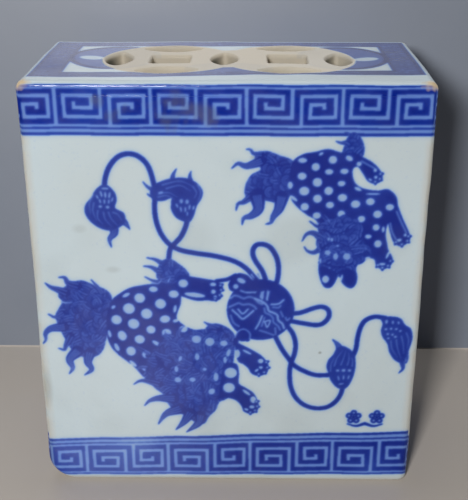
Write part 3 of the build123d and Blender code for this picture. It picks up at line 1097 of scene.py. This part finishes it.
def pierced_top(sheets, material):
    """The top slab: printed rim and face, nine openings with soft lips, and a plain underside."""
    shell = Shell()
    up = ticks(HEAD, HEIGHT, 0, EDGE_RADIUS)
    foot_rows = {side: printed_patch(shell, side, up, sheets[side])[0] for side in ACROSS}
    rows = ACROSS_DEEP + DEPTH / 2
    sharp = side_points("top", ACROSS_WIDE, rows)
    x, y = sharp[..., 0], sharp[..., 1]
    distance = opening_distance(x, y)
    # points near an outline move onto it, so that no edge of the grid crosses it
    near = abs(distance) <= SNAP_REACH
    gx, gy = slope(x, y)
    x, y = x - np.where(near, distance * gx, 0), y - np.where(near, distance * gy, 0)
    state = np.where(near, 0, np.sign(distance)).astype(int)
    sharp = np.stack([x, y, sharp[..., 2]], axis=-1)
    form = round_off(sharp)
    gap = np.where(near, 0, np.clip(opening_distance(x, y), 0, LIP_RADIUS))
    form[..., 2] -= LIP_RADIUS - np.sqrt(LIP_RADIUS**2 - (LIP_RADIUS - gap) ** 2)
    reserve = coin_cream(x, y + DEPTH / 2)
    cobalt = sheets["top"].at(x, y + DEPTH / 2) * (1 - 0.97 * reserve)
    greying = 0.62 * np.clip(cobalt * 1.5, 0, 1)
    numbers = shell.add_points(form, cobalt, reserve, chips(sharp), dirt("top", sharp) + greying)
    lip_edges = []
    for row in range(len(rows) - 1):
        for column in range(len(ACROSS_WIDE) - 1):
            corners = [(row, column), (row, column + 1), (row + 1, column + 1), (row + 1, column)]
            states = [state[c] for c in corners]
            kept = [c for c, s in zip(corners, states) if s >= 0] if max(states) > 0 else []
            if len(kept) < 3:
                continue
            shell.add_face([numbers[c] for c in kept], flat=False)
            if min(states) <= 0:
                for here, after in zip(kept, kept[1:] + kept[:1]):
                    if state[here] == 0 and state[after] == 0:
                        lip_edges.append((int(numbers[here]), int(numbers[after])))
    doubled = {(b, a) for a, b in lip_edges} & set(lip_edges)
    lip_edges = [edge for edge in lip_edges if edge not in doubled]
    top_points = form.reshape(-1, 3)
    first = int(numbers[0, 0])
    levels = np.linspace(HEIGHT - LIP_RADIUS, HEAD, 7)[1:]
    hole_feet = []
    for run in loops(lip_edges):
        lip = top_points[np.array(run) - first]
        wall_points = np.stack([lip * [1, 1, 0] + [0, 0, level] for level in levels])
        # the hole walls carry painted shade and dirt at the left and front of the upright petals
        drop = np.vstack([run, shell.add_points(wall_points, cream=1, stain_and_shade=grime_and_painted_shade(wall_points))])
        shell.add_grid(np.hstack([drop, drop[:, :1]])[::-1])
        hole_feet.append(drop[-1])
    outline = np.concatenate([foot_rows[side][:-1] for side in ("front", "right", "back", "left")])
    underside(shell, outline, hole_feet)
    return shell.make("pierced_top", material, "pierced_top_slab")


def underside(shell, outline, hole_feet):
    """Fills the flat underside of the top between its outline and its openings."""
    points = np.concatenate(shell.points)
    rings = [outline, *hole_feet]
    order = np.concatenate(rings)
    edges, start = [], 0
    for ring in rings:
        size = len(ring)
        edges += [(start + k, start + (k + 1) % size) for k in range(size)]
        start += size
    flat = [Vector(points[n][:2]) for n in order]
    _, _, triangles, originals, _, _ = delaunay_2d_cdt(flat, edges, [], 0, 1e-7)
    for triangle in triangles:
        corners = [originals[k][0] for k in triangle]
        middle = np.mean([points[order[k]][:2] for k in corners], axis=0)
        if opening_distance(middle[:1], middle[1:])[0] > 0:
            shell.add_face([order[k] for k in reversed(corners)])


def base(sheets, material):
    """The base slab: the printed foot, the flat top that the walls stand on, and the flat underside."""
    shell = Shell()
    up = ticks(0, FOOT, EDGE_RADIUS, 0)
    heads = {side: printed_patch(shell, side, up, sheets[side])[-1] for side in ACROSS}
    sharp = side_points("under", ACROSS_WIDE, ACROSS_DEEP + DEPTH / 2)
    bare = np.clip(np.minimum(WIDTH / 2 - abs(sharp[..., 0]), DEPTH / 2 - abs(sharp[..., 1])) - 1.2, 0, 1)
    numbers = shell.add_points(round_off(sharp), 0, 0.4, bare, 0.1)
    shell.add_grid(numbers)
    shell.add_face(np.concatenate([heads[side][:-1] for side in ("front", "right", "back", "left")]))
    return shell.make("base", material, "base_slab")


# ---- luting coils ---------------------------------------------------------------------------
COIL_WAIST = 0.38  # how far the coil's hollow face stands off the angle, as a share of its leg


def coil_section(leg):
    """The coil's outline in the angle between two slabs: two flat legs and a hollow face."""
    turn = np.linspace(0, math.pi / 2, 9)
    hollow = leg * (1 - (1 - COIL_WAIST * 0.62) * np.sin(turn))
    other = leg * (1 - (1 - COIL_WAIST * 0.62) * np.cos(turn))
    return np.column_stack([np.append(hollow, 0), np.append(other, 0)])


def pressed(length, seed):
    """Leg lengths along a coil, nipped in where each finger pressed."""
    stations = np.arange(0, length + 1e-6, 1.5)
    line = np.column_stack([stations, np.zeros((len(stations), 2))])
    return stations, COIL * (
        0.9 - 0.1 * np.abs(np.sin(stations * 0.28 + seed)) + 0.04 * ripple(line, 8, seed)
    )


def corner_coils(material):
    """Four upright coils, one in each inside corner."""
    shell = Shell()
    inner_x, inner_y = WIDTH / 2 - WALL, DEPTH / 2 - WALL
    for number, (sx, sy) in enumerate(((-1, -1), (1, -1), (1, 1), (-1, 1))):
        stations, legs = pressed(HEAD - FOOT, SEED + 20 + number)
        rings = []
        for height, leg in zip(stations, legs):
            section = coil_section(leg)
            corner = np.array([sx * inner_x, sy * inner_y])
            ring = corner - section * [sx, sy]
            rings.append(
                np.column_stack([ring, np.full(len(ring), FOOT + height * (HEAD - FOOT) / stations[-1])])
            )
        numbers = shell.add_points(np.array(rings), cream=1, wear=0.7)
        ring_numbers = np.hstack([numbers, numbers[:, :1]])
        if sx * sy < 0:
            ring_numbers = ring_numbers[:, ::-1]
        shell.add_grid(ring_numbers)
        shell.add_face(ring_numbers[0, :0:-1])
        shell.add_face(ring_numbers[-1, :-1])
    return shell.make("corner_luting_coils", material, "corner_coils")


def base_coil(material):
    """The coil round the inside foot of the walls."""
    shell = Shell()
    inner_x, inner_y = WIDTH / 2 - WALL, DEPTH / 2 - WALL
    corners = np.array([(-1, -1), (1, -1), (1, 1), (-1, 1)])
    rings = []
    for number in range(4):
        here, after = corners[number], corners[(number + 1) % 4]
        length = 2 * (inner_x if here[0] != after[0] else inner_y)
        stations, legs = pressed(length, SEED + 30 + number)
        for share, leg in zip(stations[:-1] / stations[-1], legs):
            leg = leg if share else COIL * 0.85
            section = coil_section(leg)
            toward = here + (after - here) * share
            inset = np.where(np.abs(toward) == 1, 1, 0) * section[:, :1]
            plan = toward * ([inner_x, inner_y] - inset)
            rings.append(np.column_stack([plan, FOOT + section[:, 1]]))
    numbers = shell.add_points(np.array(rings), cream=1, wear=0.7)
    numbers = np.vstack([numbers, numbers[:1]])
    shell.add_grid(np.hstack([numbers, numbers[:, :1]])[:, ::-1])
    return shell.make("base_luting_coil", material, "base_coil")


# ---- the top's print ------------------------------------------------------------------------
COIN_RADIUS = 22.3
COIN_MIDDLE = DEPTH / 2 + 0.75


def coin_cream(x, z):
    """1 on the cream coins left free of print round the openings, 0 elsewhere."""
    nearest = np.full_like(x, 1e9)
    for cx in (-19.25, 19.25):
        wobble = 0.35 * np.sin(3 * np.arctan2(z - COIN_MIDDLE, x - cx) + cx)
        nearest = np.minimum(nearest, np.hypot(x - cx, z - COIN_MIDDLE) - COIN_RADIUS + wobble)
    bridge = np.maximum(abs(x) - 10, abs(z - COIN_MIDDLE) - 14)
    return np.clip(0.5 - np.minimum(nearest, bridge) / 0.7, 0, 1)


def draw_top(sheet, rng):
    """A dark border, a ground of small dabs, white spandrels, and a leaf in a ring at each end."""
    left, right, back = -60.9, 60.7, 60.8
    front = [(left, 5.4), (-23, 6.4), (10, 8.6), (27, 9.4), (right, 10)]
    sheet.fill([*front, (right, back), (left, back)], INK, rounded=False)
    inner = [(0.977 * x, z + 1.5) for x, z in front]
    sheet.fill([*inner, (right - 1.4, back - 1.4), (left + 1.4, back - 1.4)], 0.78, rounded=False)
    for _ in range(2600):
        x, z = rng.uniform(left + 2, right - 2), rng.uniform(7, back - 2)
        if z > 2.2 + np.interp(x, *np.transpose(front)):
            sheet.spot(x, z, rng.uniform(0.3, 0.8), rng.choice((0.45, 0.95, 0.9)), rng.uniform(0.3, 0.5))
    sheet.fill([(-52.5, 11), (52.5, 14.5), (52.5, 55), (-52.5, 55)], INK, rounded=False)
    sheet.fill([(-51.4, 12.1), (51.4, 15.6), (51.4, 53.9), (-51.4, 53.9)], BARE, rounded=False)
    for side in (-1, 1):
        sheet.spot(side * 37.5, 35, 15.2, INK, 18)
        sheet.spot(side * 37.5, 35, 13.4, 0.6, 16)
        sheet.spot(side * 45, 33, 4.4, 0.05, 2.9, side * 20)
    sheet.fill([(-14, 13), (14, 14.6), (9, 24), (-9, 24)], 0.6)


def draw_end(sheet):
    """The ends: the same two borders, and the ball hung on a cord between two tassels."""
    sheet.stroke([(0, 96), (-4, 100), (-5, 106), (-1, 110), (4, 107), (5, 101), (1, 96), (0, 88)], CORD, INK)
    sheet.stroke([(0, 66), (-3, 60), (-9, 57), (-13, 52), (-13, 46)], CORD, INK)
    sheet.stroke([(0, 66), (4, 61), (10, 58), (13, 51), (12, 44)], CORD, INK)
    ball(sheet, 0, 76, 11.1)
    for x, z in ((-13, 38), (12, 36)):
        outline = [(-1, 8), (-4, 4), (-5, -2), (-3, -7), (1, -8), (4, -4), (4, 2)]
        dabs = [(-1, 5, 1, 0.4, 0), (-2, 2, 0.9, 0.4, 60), (1, 2, 0.9, 0.4, 110)]
        strands = [
            [(-2.5, 0), (-3, -4), (-1.4, -7)], [(0, 0), (0, -4), (0.8, -7)],
            [(2, 0.4), (2.6, -2.6), (2.2, -5)],
        ]
        locks = [[(-2, -5), (-3, -10), (-1, -13)], [(2, -5), (3, -9), (1, -12)]]
        place = np.array([x, z])
        dabs = [(x + u, z + v, *shape) for u, v, *shape in dabs]
        tassel(sheet, outline + place, dabs, strands + place, [(lock, 2.8) for lock in locks + place])
    fret_band(sheet, 130.3, 141.2, 0.0, False, 5.9, 28.85)
    fret_band(sheet, 4.6, 15.4, 0.0, True, 6.9, 29.4)


def printed_sheets():
    """Every face's finished sheet. The back carries the same transfer print as the front."""
    front, end, top = Sheet(WIDTH, HEIGHT), Sheet(DEPTH, HEIGHT), Sheet(WIDTH, DEPTH)
    draw_picture(front, np.random.default_rng(PRINT_SEED))
    draw_end(end)
    draw_top(top, np.random.default_rng(TOP_SEED))
    for sheet in (front, end, top):
        # crisp strokes with a faint halo, as cobalt bleeds into the glaze
        sheet.ink = 0.78 * sheet.blurred(0.2) + 0.22 * sheet.blurred(0.85)
    return {"front": front, "back": front, "left": end, "right": end, "top": top}


# ---- materials ------------------------------------------------------------------------------
def tint(red, green, blue):
    """A colour given as it looks on screen, 0 to 255, as the linear value that nodes take."""
    linear = [((c / 255 + 0.055) / 1.055) ** 2.4 if c > 10 else c / 3294 for c in (red, green, blue)]
    return (*linear, 1)


GREY = (150, 150, 150)


class Nodes:
    """Short ways to build a material's node tree."""

    def __init__(self, name):
        self.material = bpy.data.materials.new(name)
        self.material.use_nodes = True
        self.tree = self.material.node_tree
        self.shader = self.tree.nodes["Principled BSDF"]

    def put(self, socket, value):
        if isinstance(value, bpy.types.NodeSocket):
            self.tree.links.new(value, socket)
        else:
            socket.default_value = value

    def value(self, label):
        node = self.tree.nodes.new("ShaderNodeAttribute")
        node.attribute_name = label
        return node.outputs["Fac"]

    def math(self, operation, a, b=0.0, clamp=False):
        node = self.tree.nodes.new("ShaderNodeMath")
        node.operation, node.use_clamp = operation, clamp
        self.put(node.inputs[0], a)
        self.put(node.inputs[1], b)
        return node.outputs[0]

    def mix(self, factor, a, b, blend="MIX"):
        node = self.tree.nodes.new("ShaderNodeMix")
        node.data_type, node.blend_type = "RGBA", blend
        for socket, value in ((node.inputs[0], factor), (node.inputs[6], a), (node.inputs[7], b)):
            self.put(socket, value)
        return node.outputs[2]

    def noise(self, scale, detail=2.0, rough=0.5, distortion=0.0):
        node = self.tree.nodes.new("ShaderNodeTexNoise")
        self.put(node.inputs["Vector"], self.place())
        node.inputs["Scale"].default_value = scale
        node.inputs["Detail"].default_value = detail
        node.inputs["Roughness"].default_value = rough
        node.inputs["Distortion"].default_value = distortion
        return node.outputs["Fac"]

    def place(self):
        return self.tree.nodes.new("ShaderNodeTexCoord").outputs["Object"]

    def span(self, value, low, high, to_low=0.0, to_high=1.0):
        node = self.tree.nodes.new("ShaderNodeMapRange")
        for socket, number in zip(node.inputs, (value, low, high, to_low, to_high)):
            self.put(socket, number)
        return node.outputs[0]

    def ramp(self, value, stops):
        node = self.tree.nodes.new("ShaderNodeValToRGB")
        elements = node.color_ramp.elements
        for place, colour in stops[1:-1]:
            elements.new(place)
        for element, (place, colour) in zip(elements, stops):
            element.position, element.color = place, colour
        self.put(node.inputs[0], value)
        return node.outputs[0]

    def bump(self, height, strength, distance=0.0003):
        node = self.tree.nodes.new("ShaderNodeBump")
        node.inputs["Strength"].default_value = strength
        node.inputs["Distance"].default_value = distance
        self.put(node.inputs["Height"], height)
        self.put(self.shader.inputs["Normal"], node.outputs[0])


def glaze(name, white):
    """Cobalt under a clear glaze, with pooling, specks, staining, painted shade in the upright petal
    openings and worn corners.
    """
    n = Nodes(name)
    pooling = n.math("MULTIPLY_ADD", n.noise(55, 4, 0.6), 0.3)
    pooling.node.inputs[2].default_value = 0.86
    strength = n.math("MULTIPLY", n.value("cobalt"), pooling, clamp=True)
    strength = n.math("ADD", strength, n.span(n.noise(900, 2), 0.62, 0.8, 0, 0.03), clamp=True)
    print_colour = n.ramp(strength, [
        (0.0, tint(255, 255, 255)), (0.15, tint(200, 220, 255)), (0.36, tint(136, 170, 252)),
        (0.62, tint(80, 112, 218)), (0.88, tint(40, 72, 188)), (1.0, tint(6, 44, 164)),
    ])
    cream = n.value("cream")
    ground = n.mix(cream, tint(*white), n.mix(n.noise(40, 3), tint(214, 202, 182), tint(218, 209, 192)))
    ground = n.mix(n.span(n.noise(18, 3), 0.4, 0.75, 0, 0.25), ground, tint(205, 208, 200))
    colour = n.mix(1.0, ground, print_colour, "MULTIPLY")
    # darkens towards grey-brown: real staining, a grey cast on the top's print, and painted shade inside the
    # upright petal openings
    colour = n.mix(n.math("MULTIPLY", n.value("stain_and_shade"), 0.75), colour, tint(106, 108, 98))
    worn = n.span(n.value("wear"), 0.1, 0.9)
    colour = n.mix(worn, colour, n.mix(n.noise(300, 3), tint(214, 184, 140), tint(232, 214, 182)))
    n.put(n.shader.inputs["Base Color"], colour)
    n.put(
        n.shader.inputs["Roughness"],
        n.math(
            "ADD", n.span(n.noise(70, 3), 0.3, 0.7, 0.1, 0.17),
            n.math("MULTIPLY", n.math("MAXIMUM", worn, cream), 0.35),
        ),
    )
    n.shader.inputs["IOR"].default_value = 1.36
    n.bump(n.math("ADD", n.noise(160, 2), n.math("MULTIPLY", n.noise(900, 2), 0.12)), 0.55)
    return n.material


def clay(name, dark, light):
    """Bare fired clay: matt, speckled and a little sandy."""
    n = Nodes(name)
    mottled = n.mix(n.noise(60, 5, 0.6), tint(*dark), tint(*light))
    specks = n.span(n.noise(1400, 1), 0.66, 0.72)
    n.put(n.shader.inputs["Base Color"], n.mix(n.math("MULTIPLY", specks, 0.6), mottled, tint(120, 90, 60)))
    n.put(n.shader.inputs["Roughness"], n.span(n.noise(200, 3), 0.3, 0.7, 0.65, 0.85))
    n.bump(n.noise(700, 4, 0.7), 0.6)
    return n.material


def paper(name, floor_colour, wall_colour):
    """Paper for the floor and the wall. Clear from behind and casting no shadow, so it hides nothing."""
    n = Nodes(name)
    apart = n.tree.nodes.new("ShaderNodeSeparateXYZ")
    n.put(apart.inputs[0], n.place())
    colour = n.mix(n.span(apart.outputs[2], 0.0004, 0.0008), tint(*floor_colour), tint(*wall_colour))
    n.put(
        n.shader.inputs["Base Color"],
        n.mix(n.math("MULTIPLY", n.noise(25, 3), 0.12), colour, tint(*GREY)),
    )
    n.shader.inputs["Roughness"].default_value = 0.4
    clear = n.tree.nodes.new("ShaderNodeBsdfTransparent")
    either = n.tree.nodes.new("ShaderNodeMixShader")
    behind = n.tree.nodes.new("ShaderNodeNewGeometry").outputs["Backfacing"]
    shadow = n.tree.nodes.new("ShaderNodeLightPath").outputs["Is Shadow Ray"]
    unseen = n.math("MAXIMUM", behind, shadow)
    for socket, value in zip(either.inputs, (unseen, n.shader.outputs[0], clear.outputs[0])):
        n.put(socket, value)
    n.put(n.tree.nodes["Material Output"].inputs["Surface"], either.outputs[0])
    return n.material


# ---- studio, in metres ----------------------------------------------------------------------
PAPER_REACH = 1.5
WALL_Y = 0.0657  # close behind the pot
FLOOR_COLOUR, WALL_COLOUR = (152, 145, 138), (92, 98, 109)
LOOK_DOWN = 23  # degrees
LENS = 69.0
SENSOR = 36
KEY_PLACE, KEY_TARGET, KEY_SIZE = (-0.1, -0.5, 0.29), (0, 0, 0.07), 0.07
ROOM_PLACE, ROOM_SIZE = (-0.1, 0.25, 1.0), 0.6
ORIGIN = (0, 0, 0)


def backdrop():
    """Makes a floor, and a wall close behind the pot that only shows its front."""
    near, far = -PAPER_REACH, PAPER_REACH
    floor_corners = [(near, near, 0), (far, near, 0), (far, far, 0), (near, far, 0)]
    wall_corners = [(near, WALL_Y, 0), (far, WALL_Y, 0), (far, WALL_Y, far), (near, WALL_Y, far)]
    mesh = bpy.data.meshes.new("studio_backdrop")
    mesh.from_pydata(floor_corners + wall_corners, [], [(0, 1, 2, 3), (4, 5, 6, 7)])
    mesh.materials.append(paper("backdrop_paper", FLOOR_COLOUR, WALL_COLOUR))
    floor = bpy.data.objects.new("studio_backdrop", mesh)
    bpy.context.scene.collection.objects.link(floor)
    return floor


def lamp(name, place, target, size, power, lit_only=None):
    """A square soft light aimed at a point. It can be kept to the pieces of one collection."""
    data = bpy.data.lights.new(name, "AREA")
    data.size, data.energy, data.color = size, power, (1, 0.99, 0.97)
    light = bpy.data.objects.new(name, data)
    light.location = place
    direction = Vector(target) - Vector(place)
    light.rotation_euler = direction.to_track_quat("-Z", "Y").to_euler()
    light.light_linking.receiver_collection = lit_only
    bpy.context.scene.collection.objects.link(light)


def studio(pieces):
    """The backdrop, a main light near the viewer, and soft lights for what that one doesn't reach."""
    pot = bpy.data.collections.new("pot")
    paper_only = bpy.data.collections.new("paper_only")
    paper_only.objects.link(backdrop())
    for piece in pieces:
        pot.objects.link(piece)
    lamp("key", KEY_PLACE, KEY_TARGET, KEY_SIZE, 1.48)
    lamp("key_on_paper", KEY_PLACE, KEY_TARGET, KEY_SIZE, 3.7, paper_only)
    lamp("room", ROOM_PLACE, ORIGIN, ROOM_SIZE, 1.4, pot)
    lamp("room_on_paper", ROOM_PLACE, ORIGIN, ROOM_SIZE, 2.8, paper_only)
    lamp("overhead", (0, 0, 1.1), ORIGIN, 0.8, 2.3, pot)
    lamp("behind", (0.1, 0.95, 0.55), (0, 0, 0.08), 0.7, 4.0, pot)
    for side in (-1, 1):
        lamp("beside", (0.8 * side, 0.32, 0.35), (0, 0.02, 0.07), 0.5, 1.6, pot)
    world = bpy.data.worlds.new("studio_air")
    world.use_nodes = True
    air = world.node_tree.nodes["Background"].inputs
    air["Color"].default_value = (0.8, 0.86, 0.95, 1)
    # the air looks pale but lights the pot only a little
    seen = world.node_tree.nodes.new("ShaderNodeLightPath").outputs["Is Camera Ray"]
    level = world.node_tree.nodes.new("ShaderNodeMapRange")
    level.inputs["To Min"].default_value = 0.01
    level.inputs["To Max"].default_value = 0.3
    world.node_tree.links.new(seen, level.inputs["Value"])
    world.node_tree.links.new(level.outputs["Result"], air["Strength"])
    bpy.context.scene.world = world
    bpy.context.scene.view_settings.view_transform = "Standard"


def camera():
    """The view of the photograph: in front and above, looking down and a hair to the left."""
    data = bpy.data.cameras.new("view")
    data.lens = LENS
    data.sensor_width = SENSOR
    data.clip_start = 0.01
    view = bpy.data.objects.new("view", data)
    view.location = (0.0057, -0.3135, 0.2087)
    view.rotation_euler = (math.radians(90 - LOOK_DOWN), 0, math.radians(0.73))
    bpy.context.scene.collection.objects.link(view)
    bpy.context.scene.camera = view


# ---- the pot --------------------------------------------------------------------------------
BLUISH_WHITE = (215, 232, 241)
sheets = printed_sheets()
printed_glaze = glaze("printed_glaze", BLUISH_WHITE)
coin_glaze = glaze("coin_glaze", (215, 230, 238))
foot_glaze = glaze("foot_glaze", BLUISH_WHITE)
luting_clay = clay("luting_clay", (176, 160, 132), (214, 200, 172))

pieces = [
    wall("front_wall", "front_slab", "front", sheets["front"], printed_glaze),
    wall("back_wall", "back_slab", "back", sheets["back"], printed_glaze),
    wall("left_end_wall", "left_end_slab", "left", sheets["left"], printed_glaze),
    wall("right_end_wall", "right_end_slab", "right", sheets["right"], printed_glaze),
    pierced_top(sheets, coin_glaze),
    base(sheets, foot_glaze),
    corner_coils(luting_clay),
    base_coil(luting_clay),
]

studio(pieces)
camera()
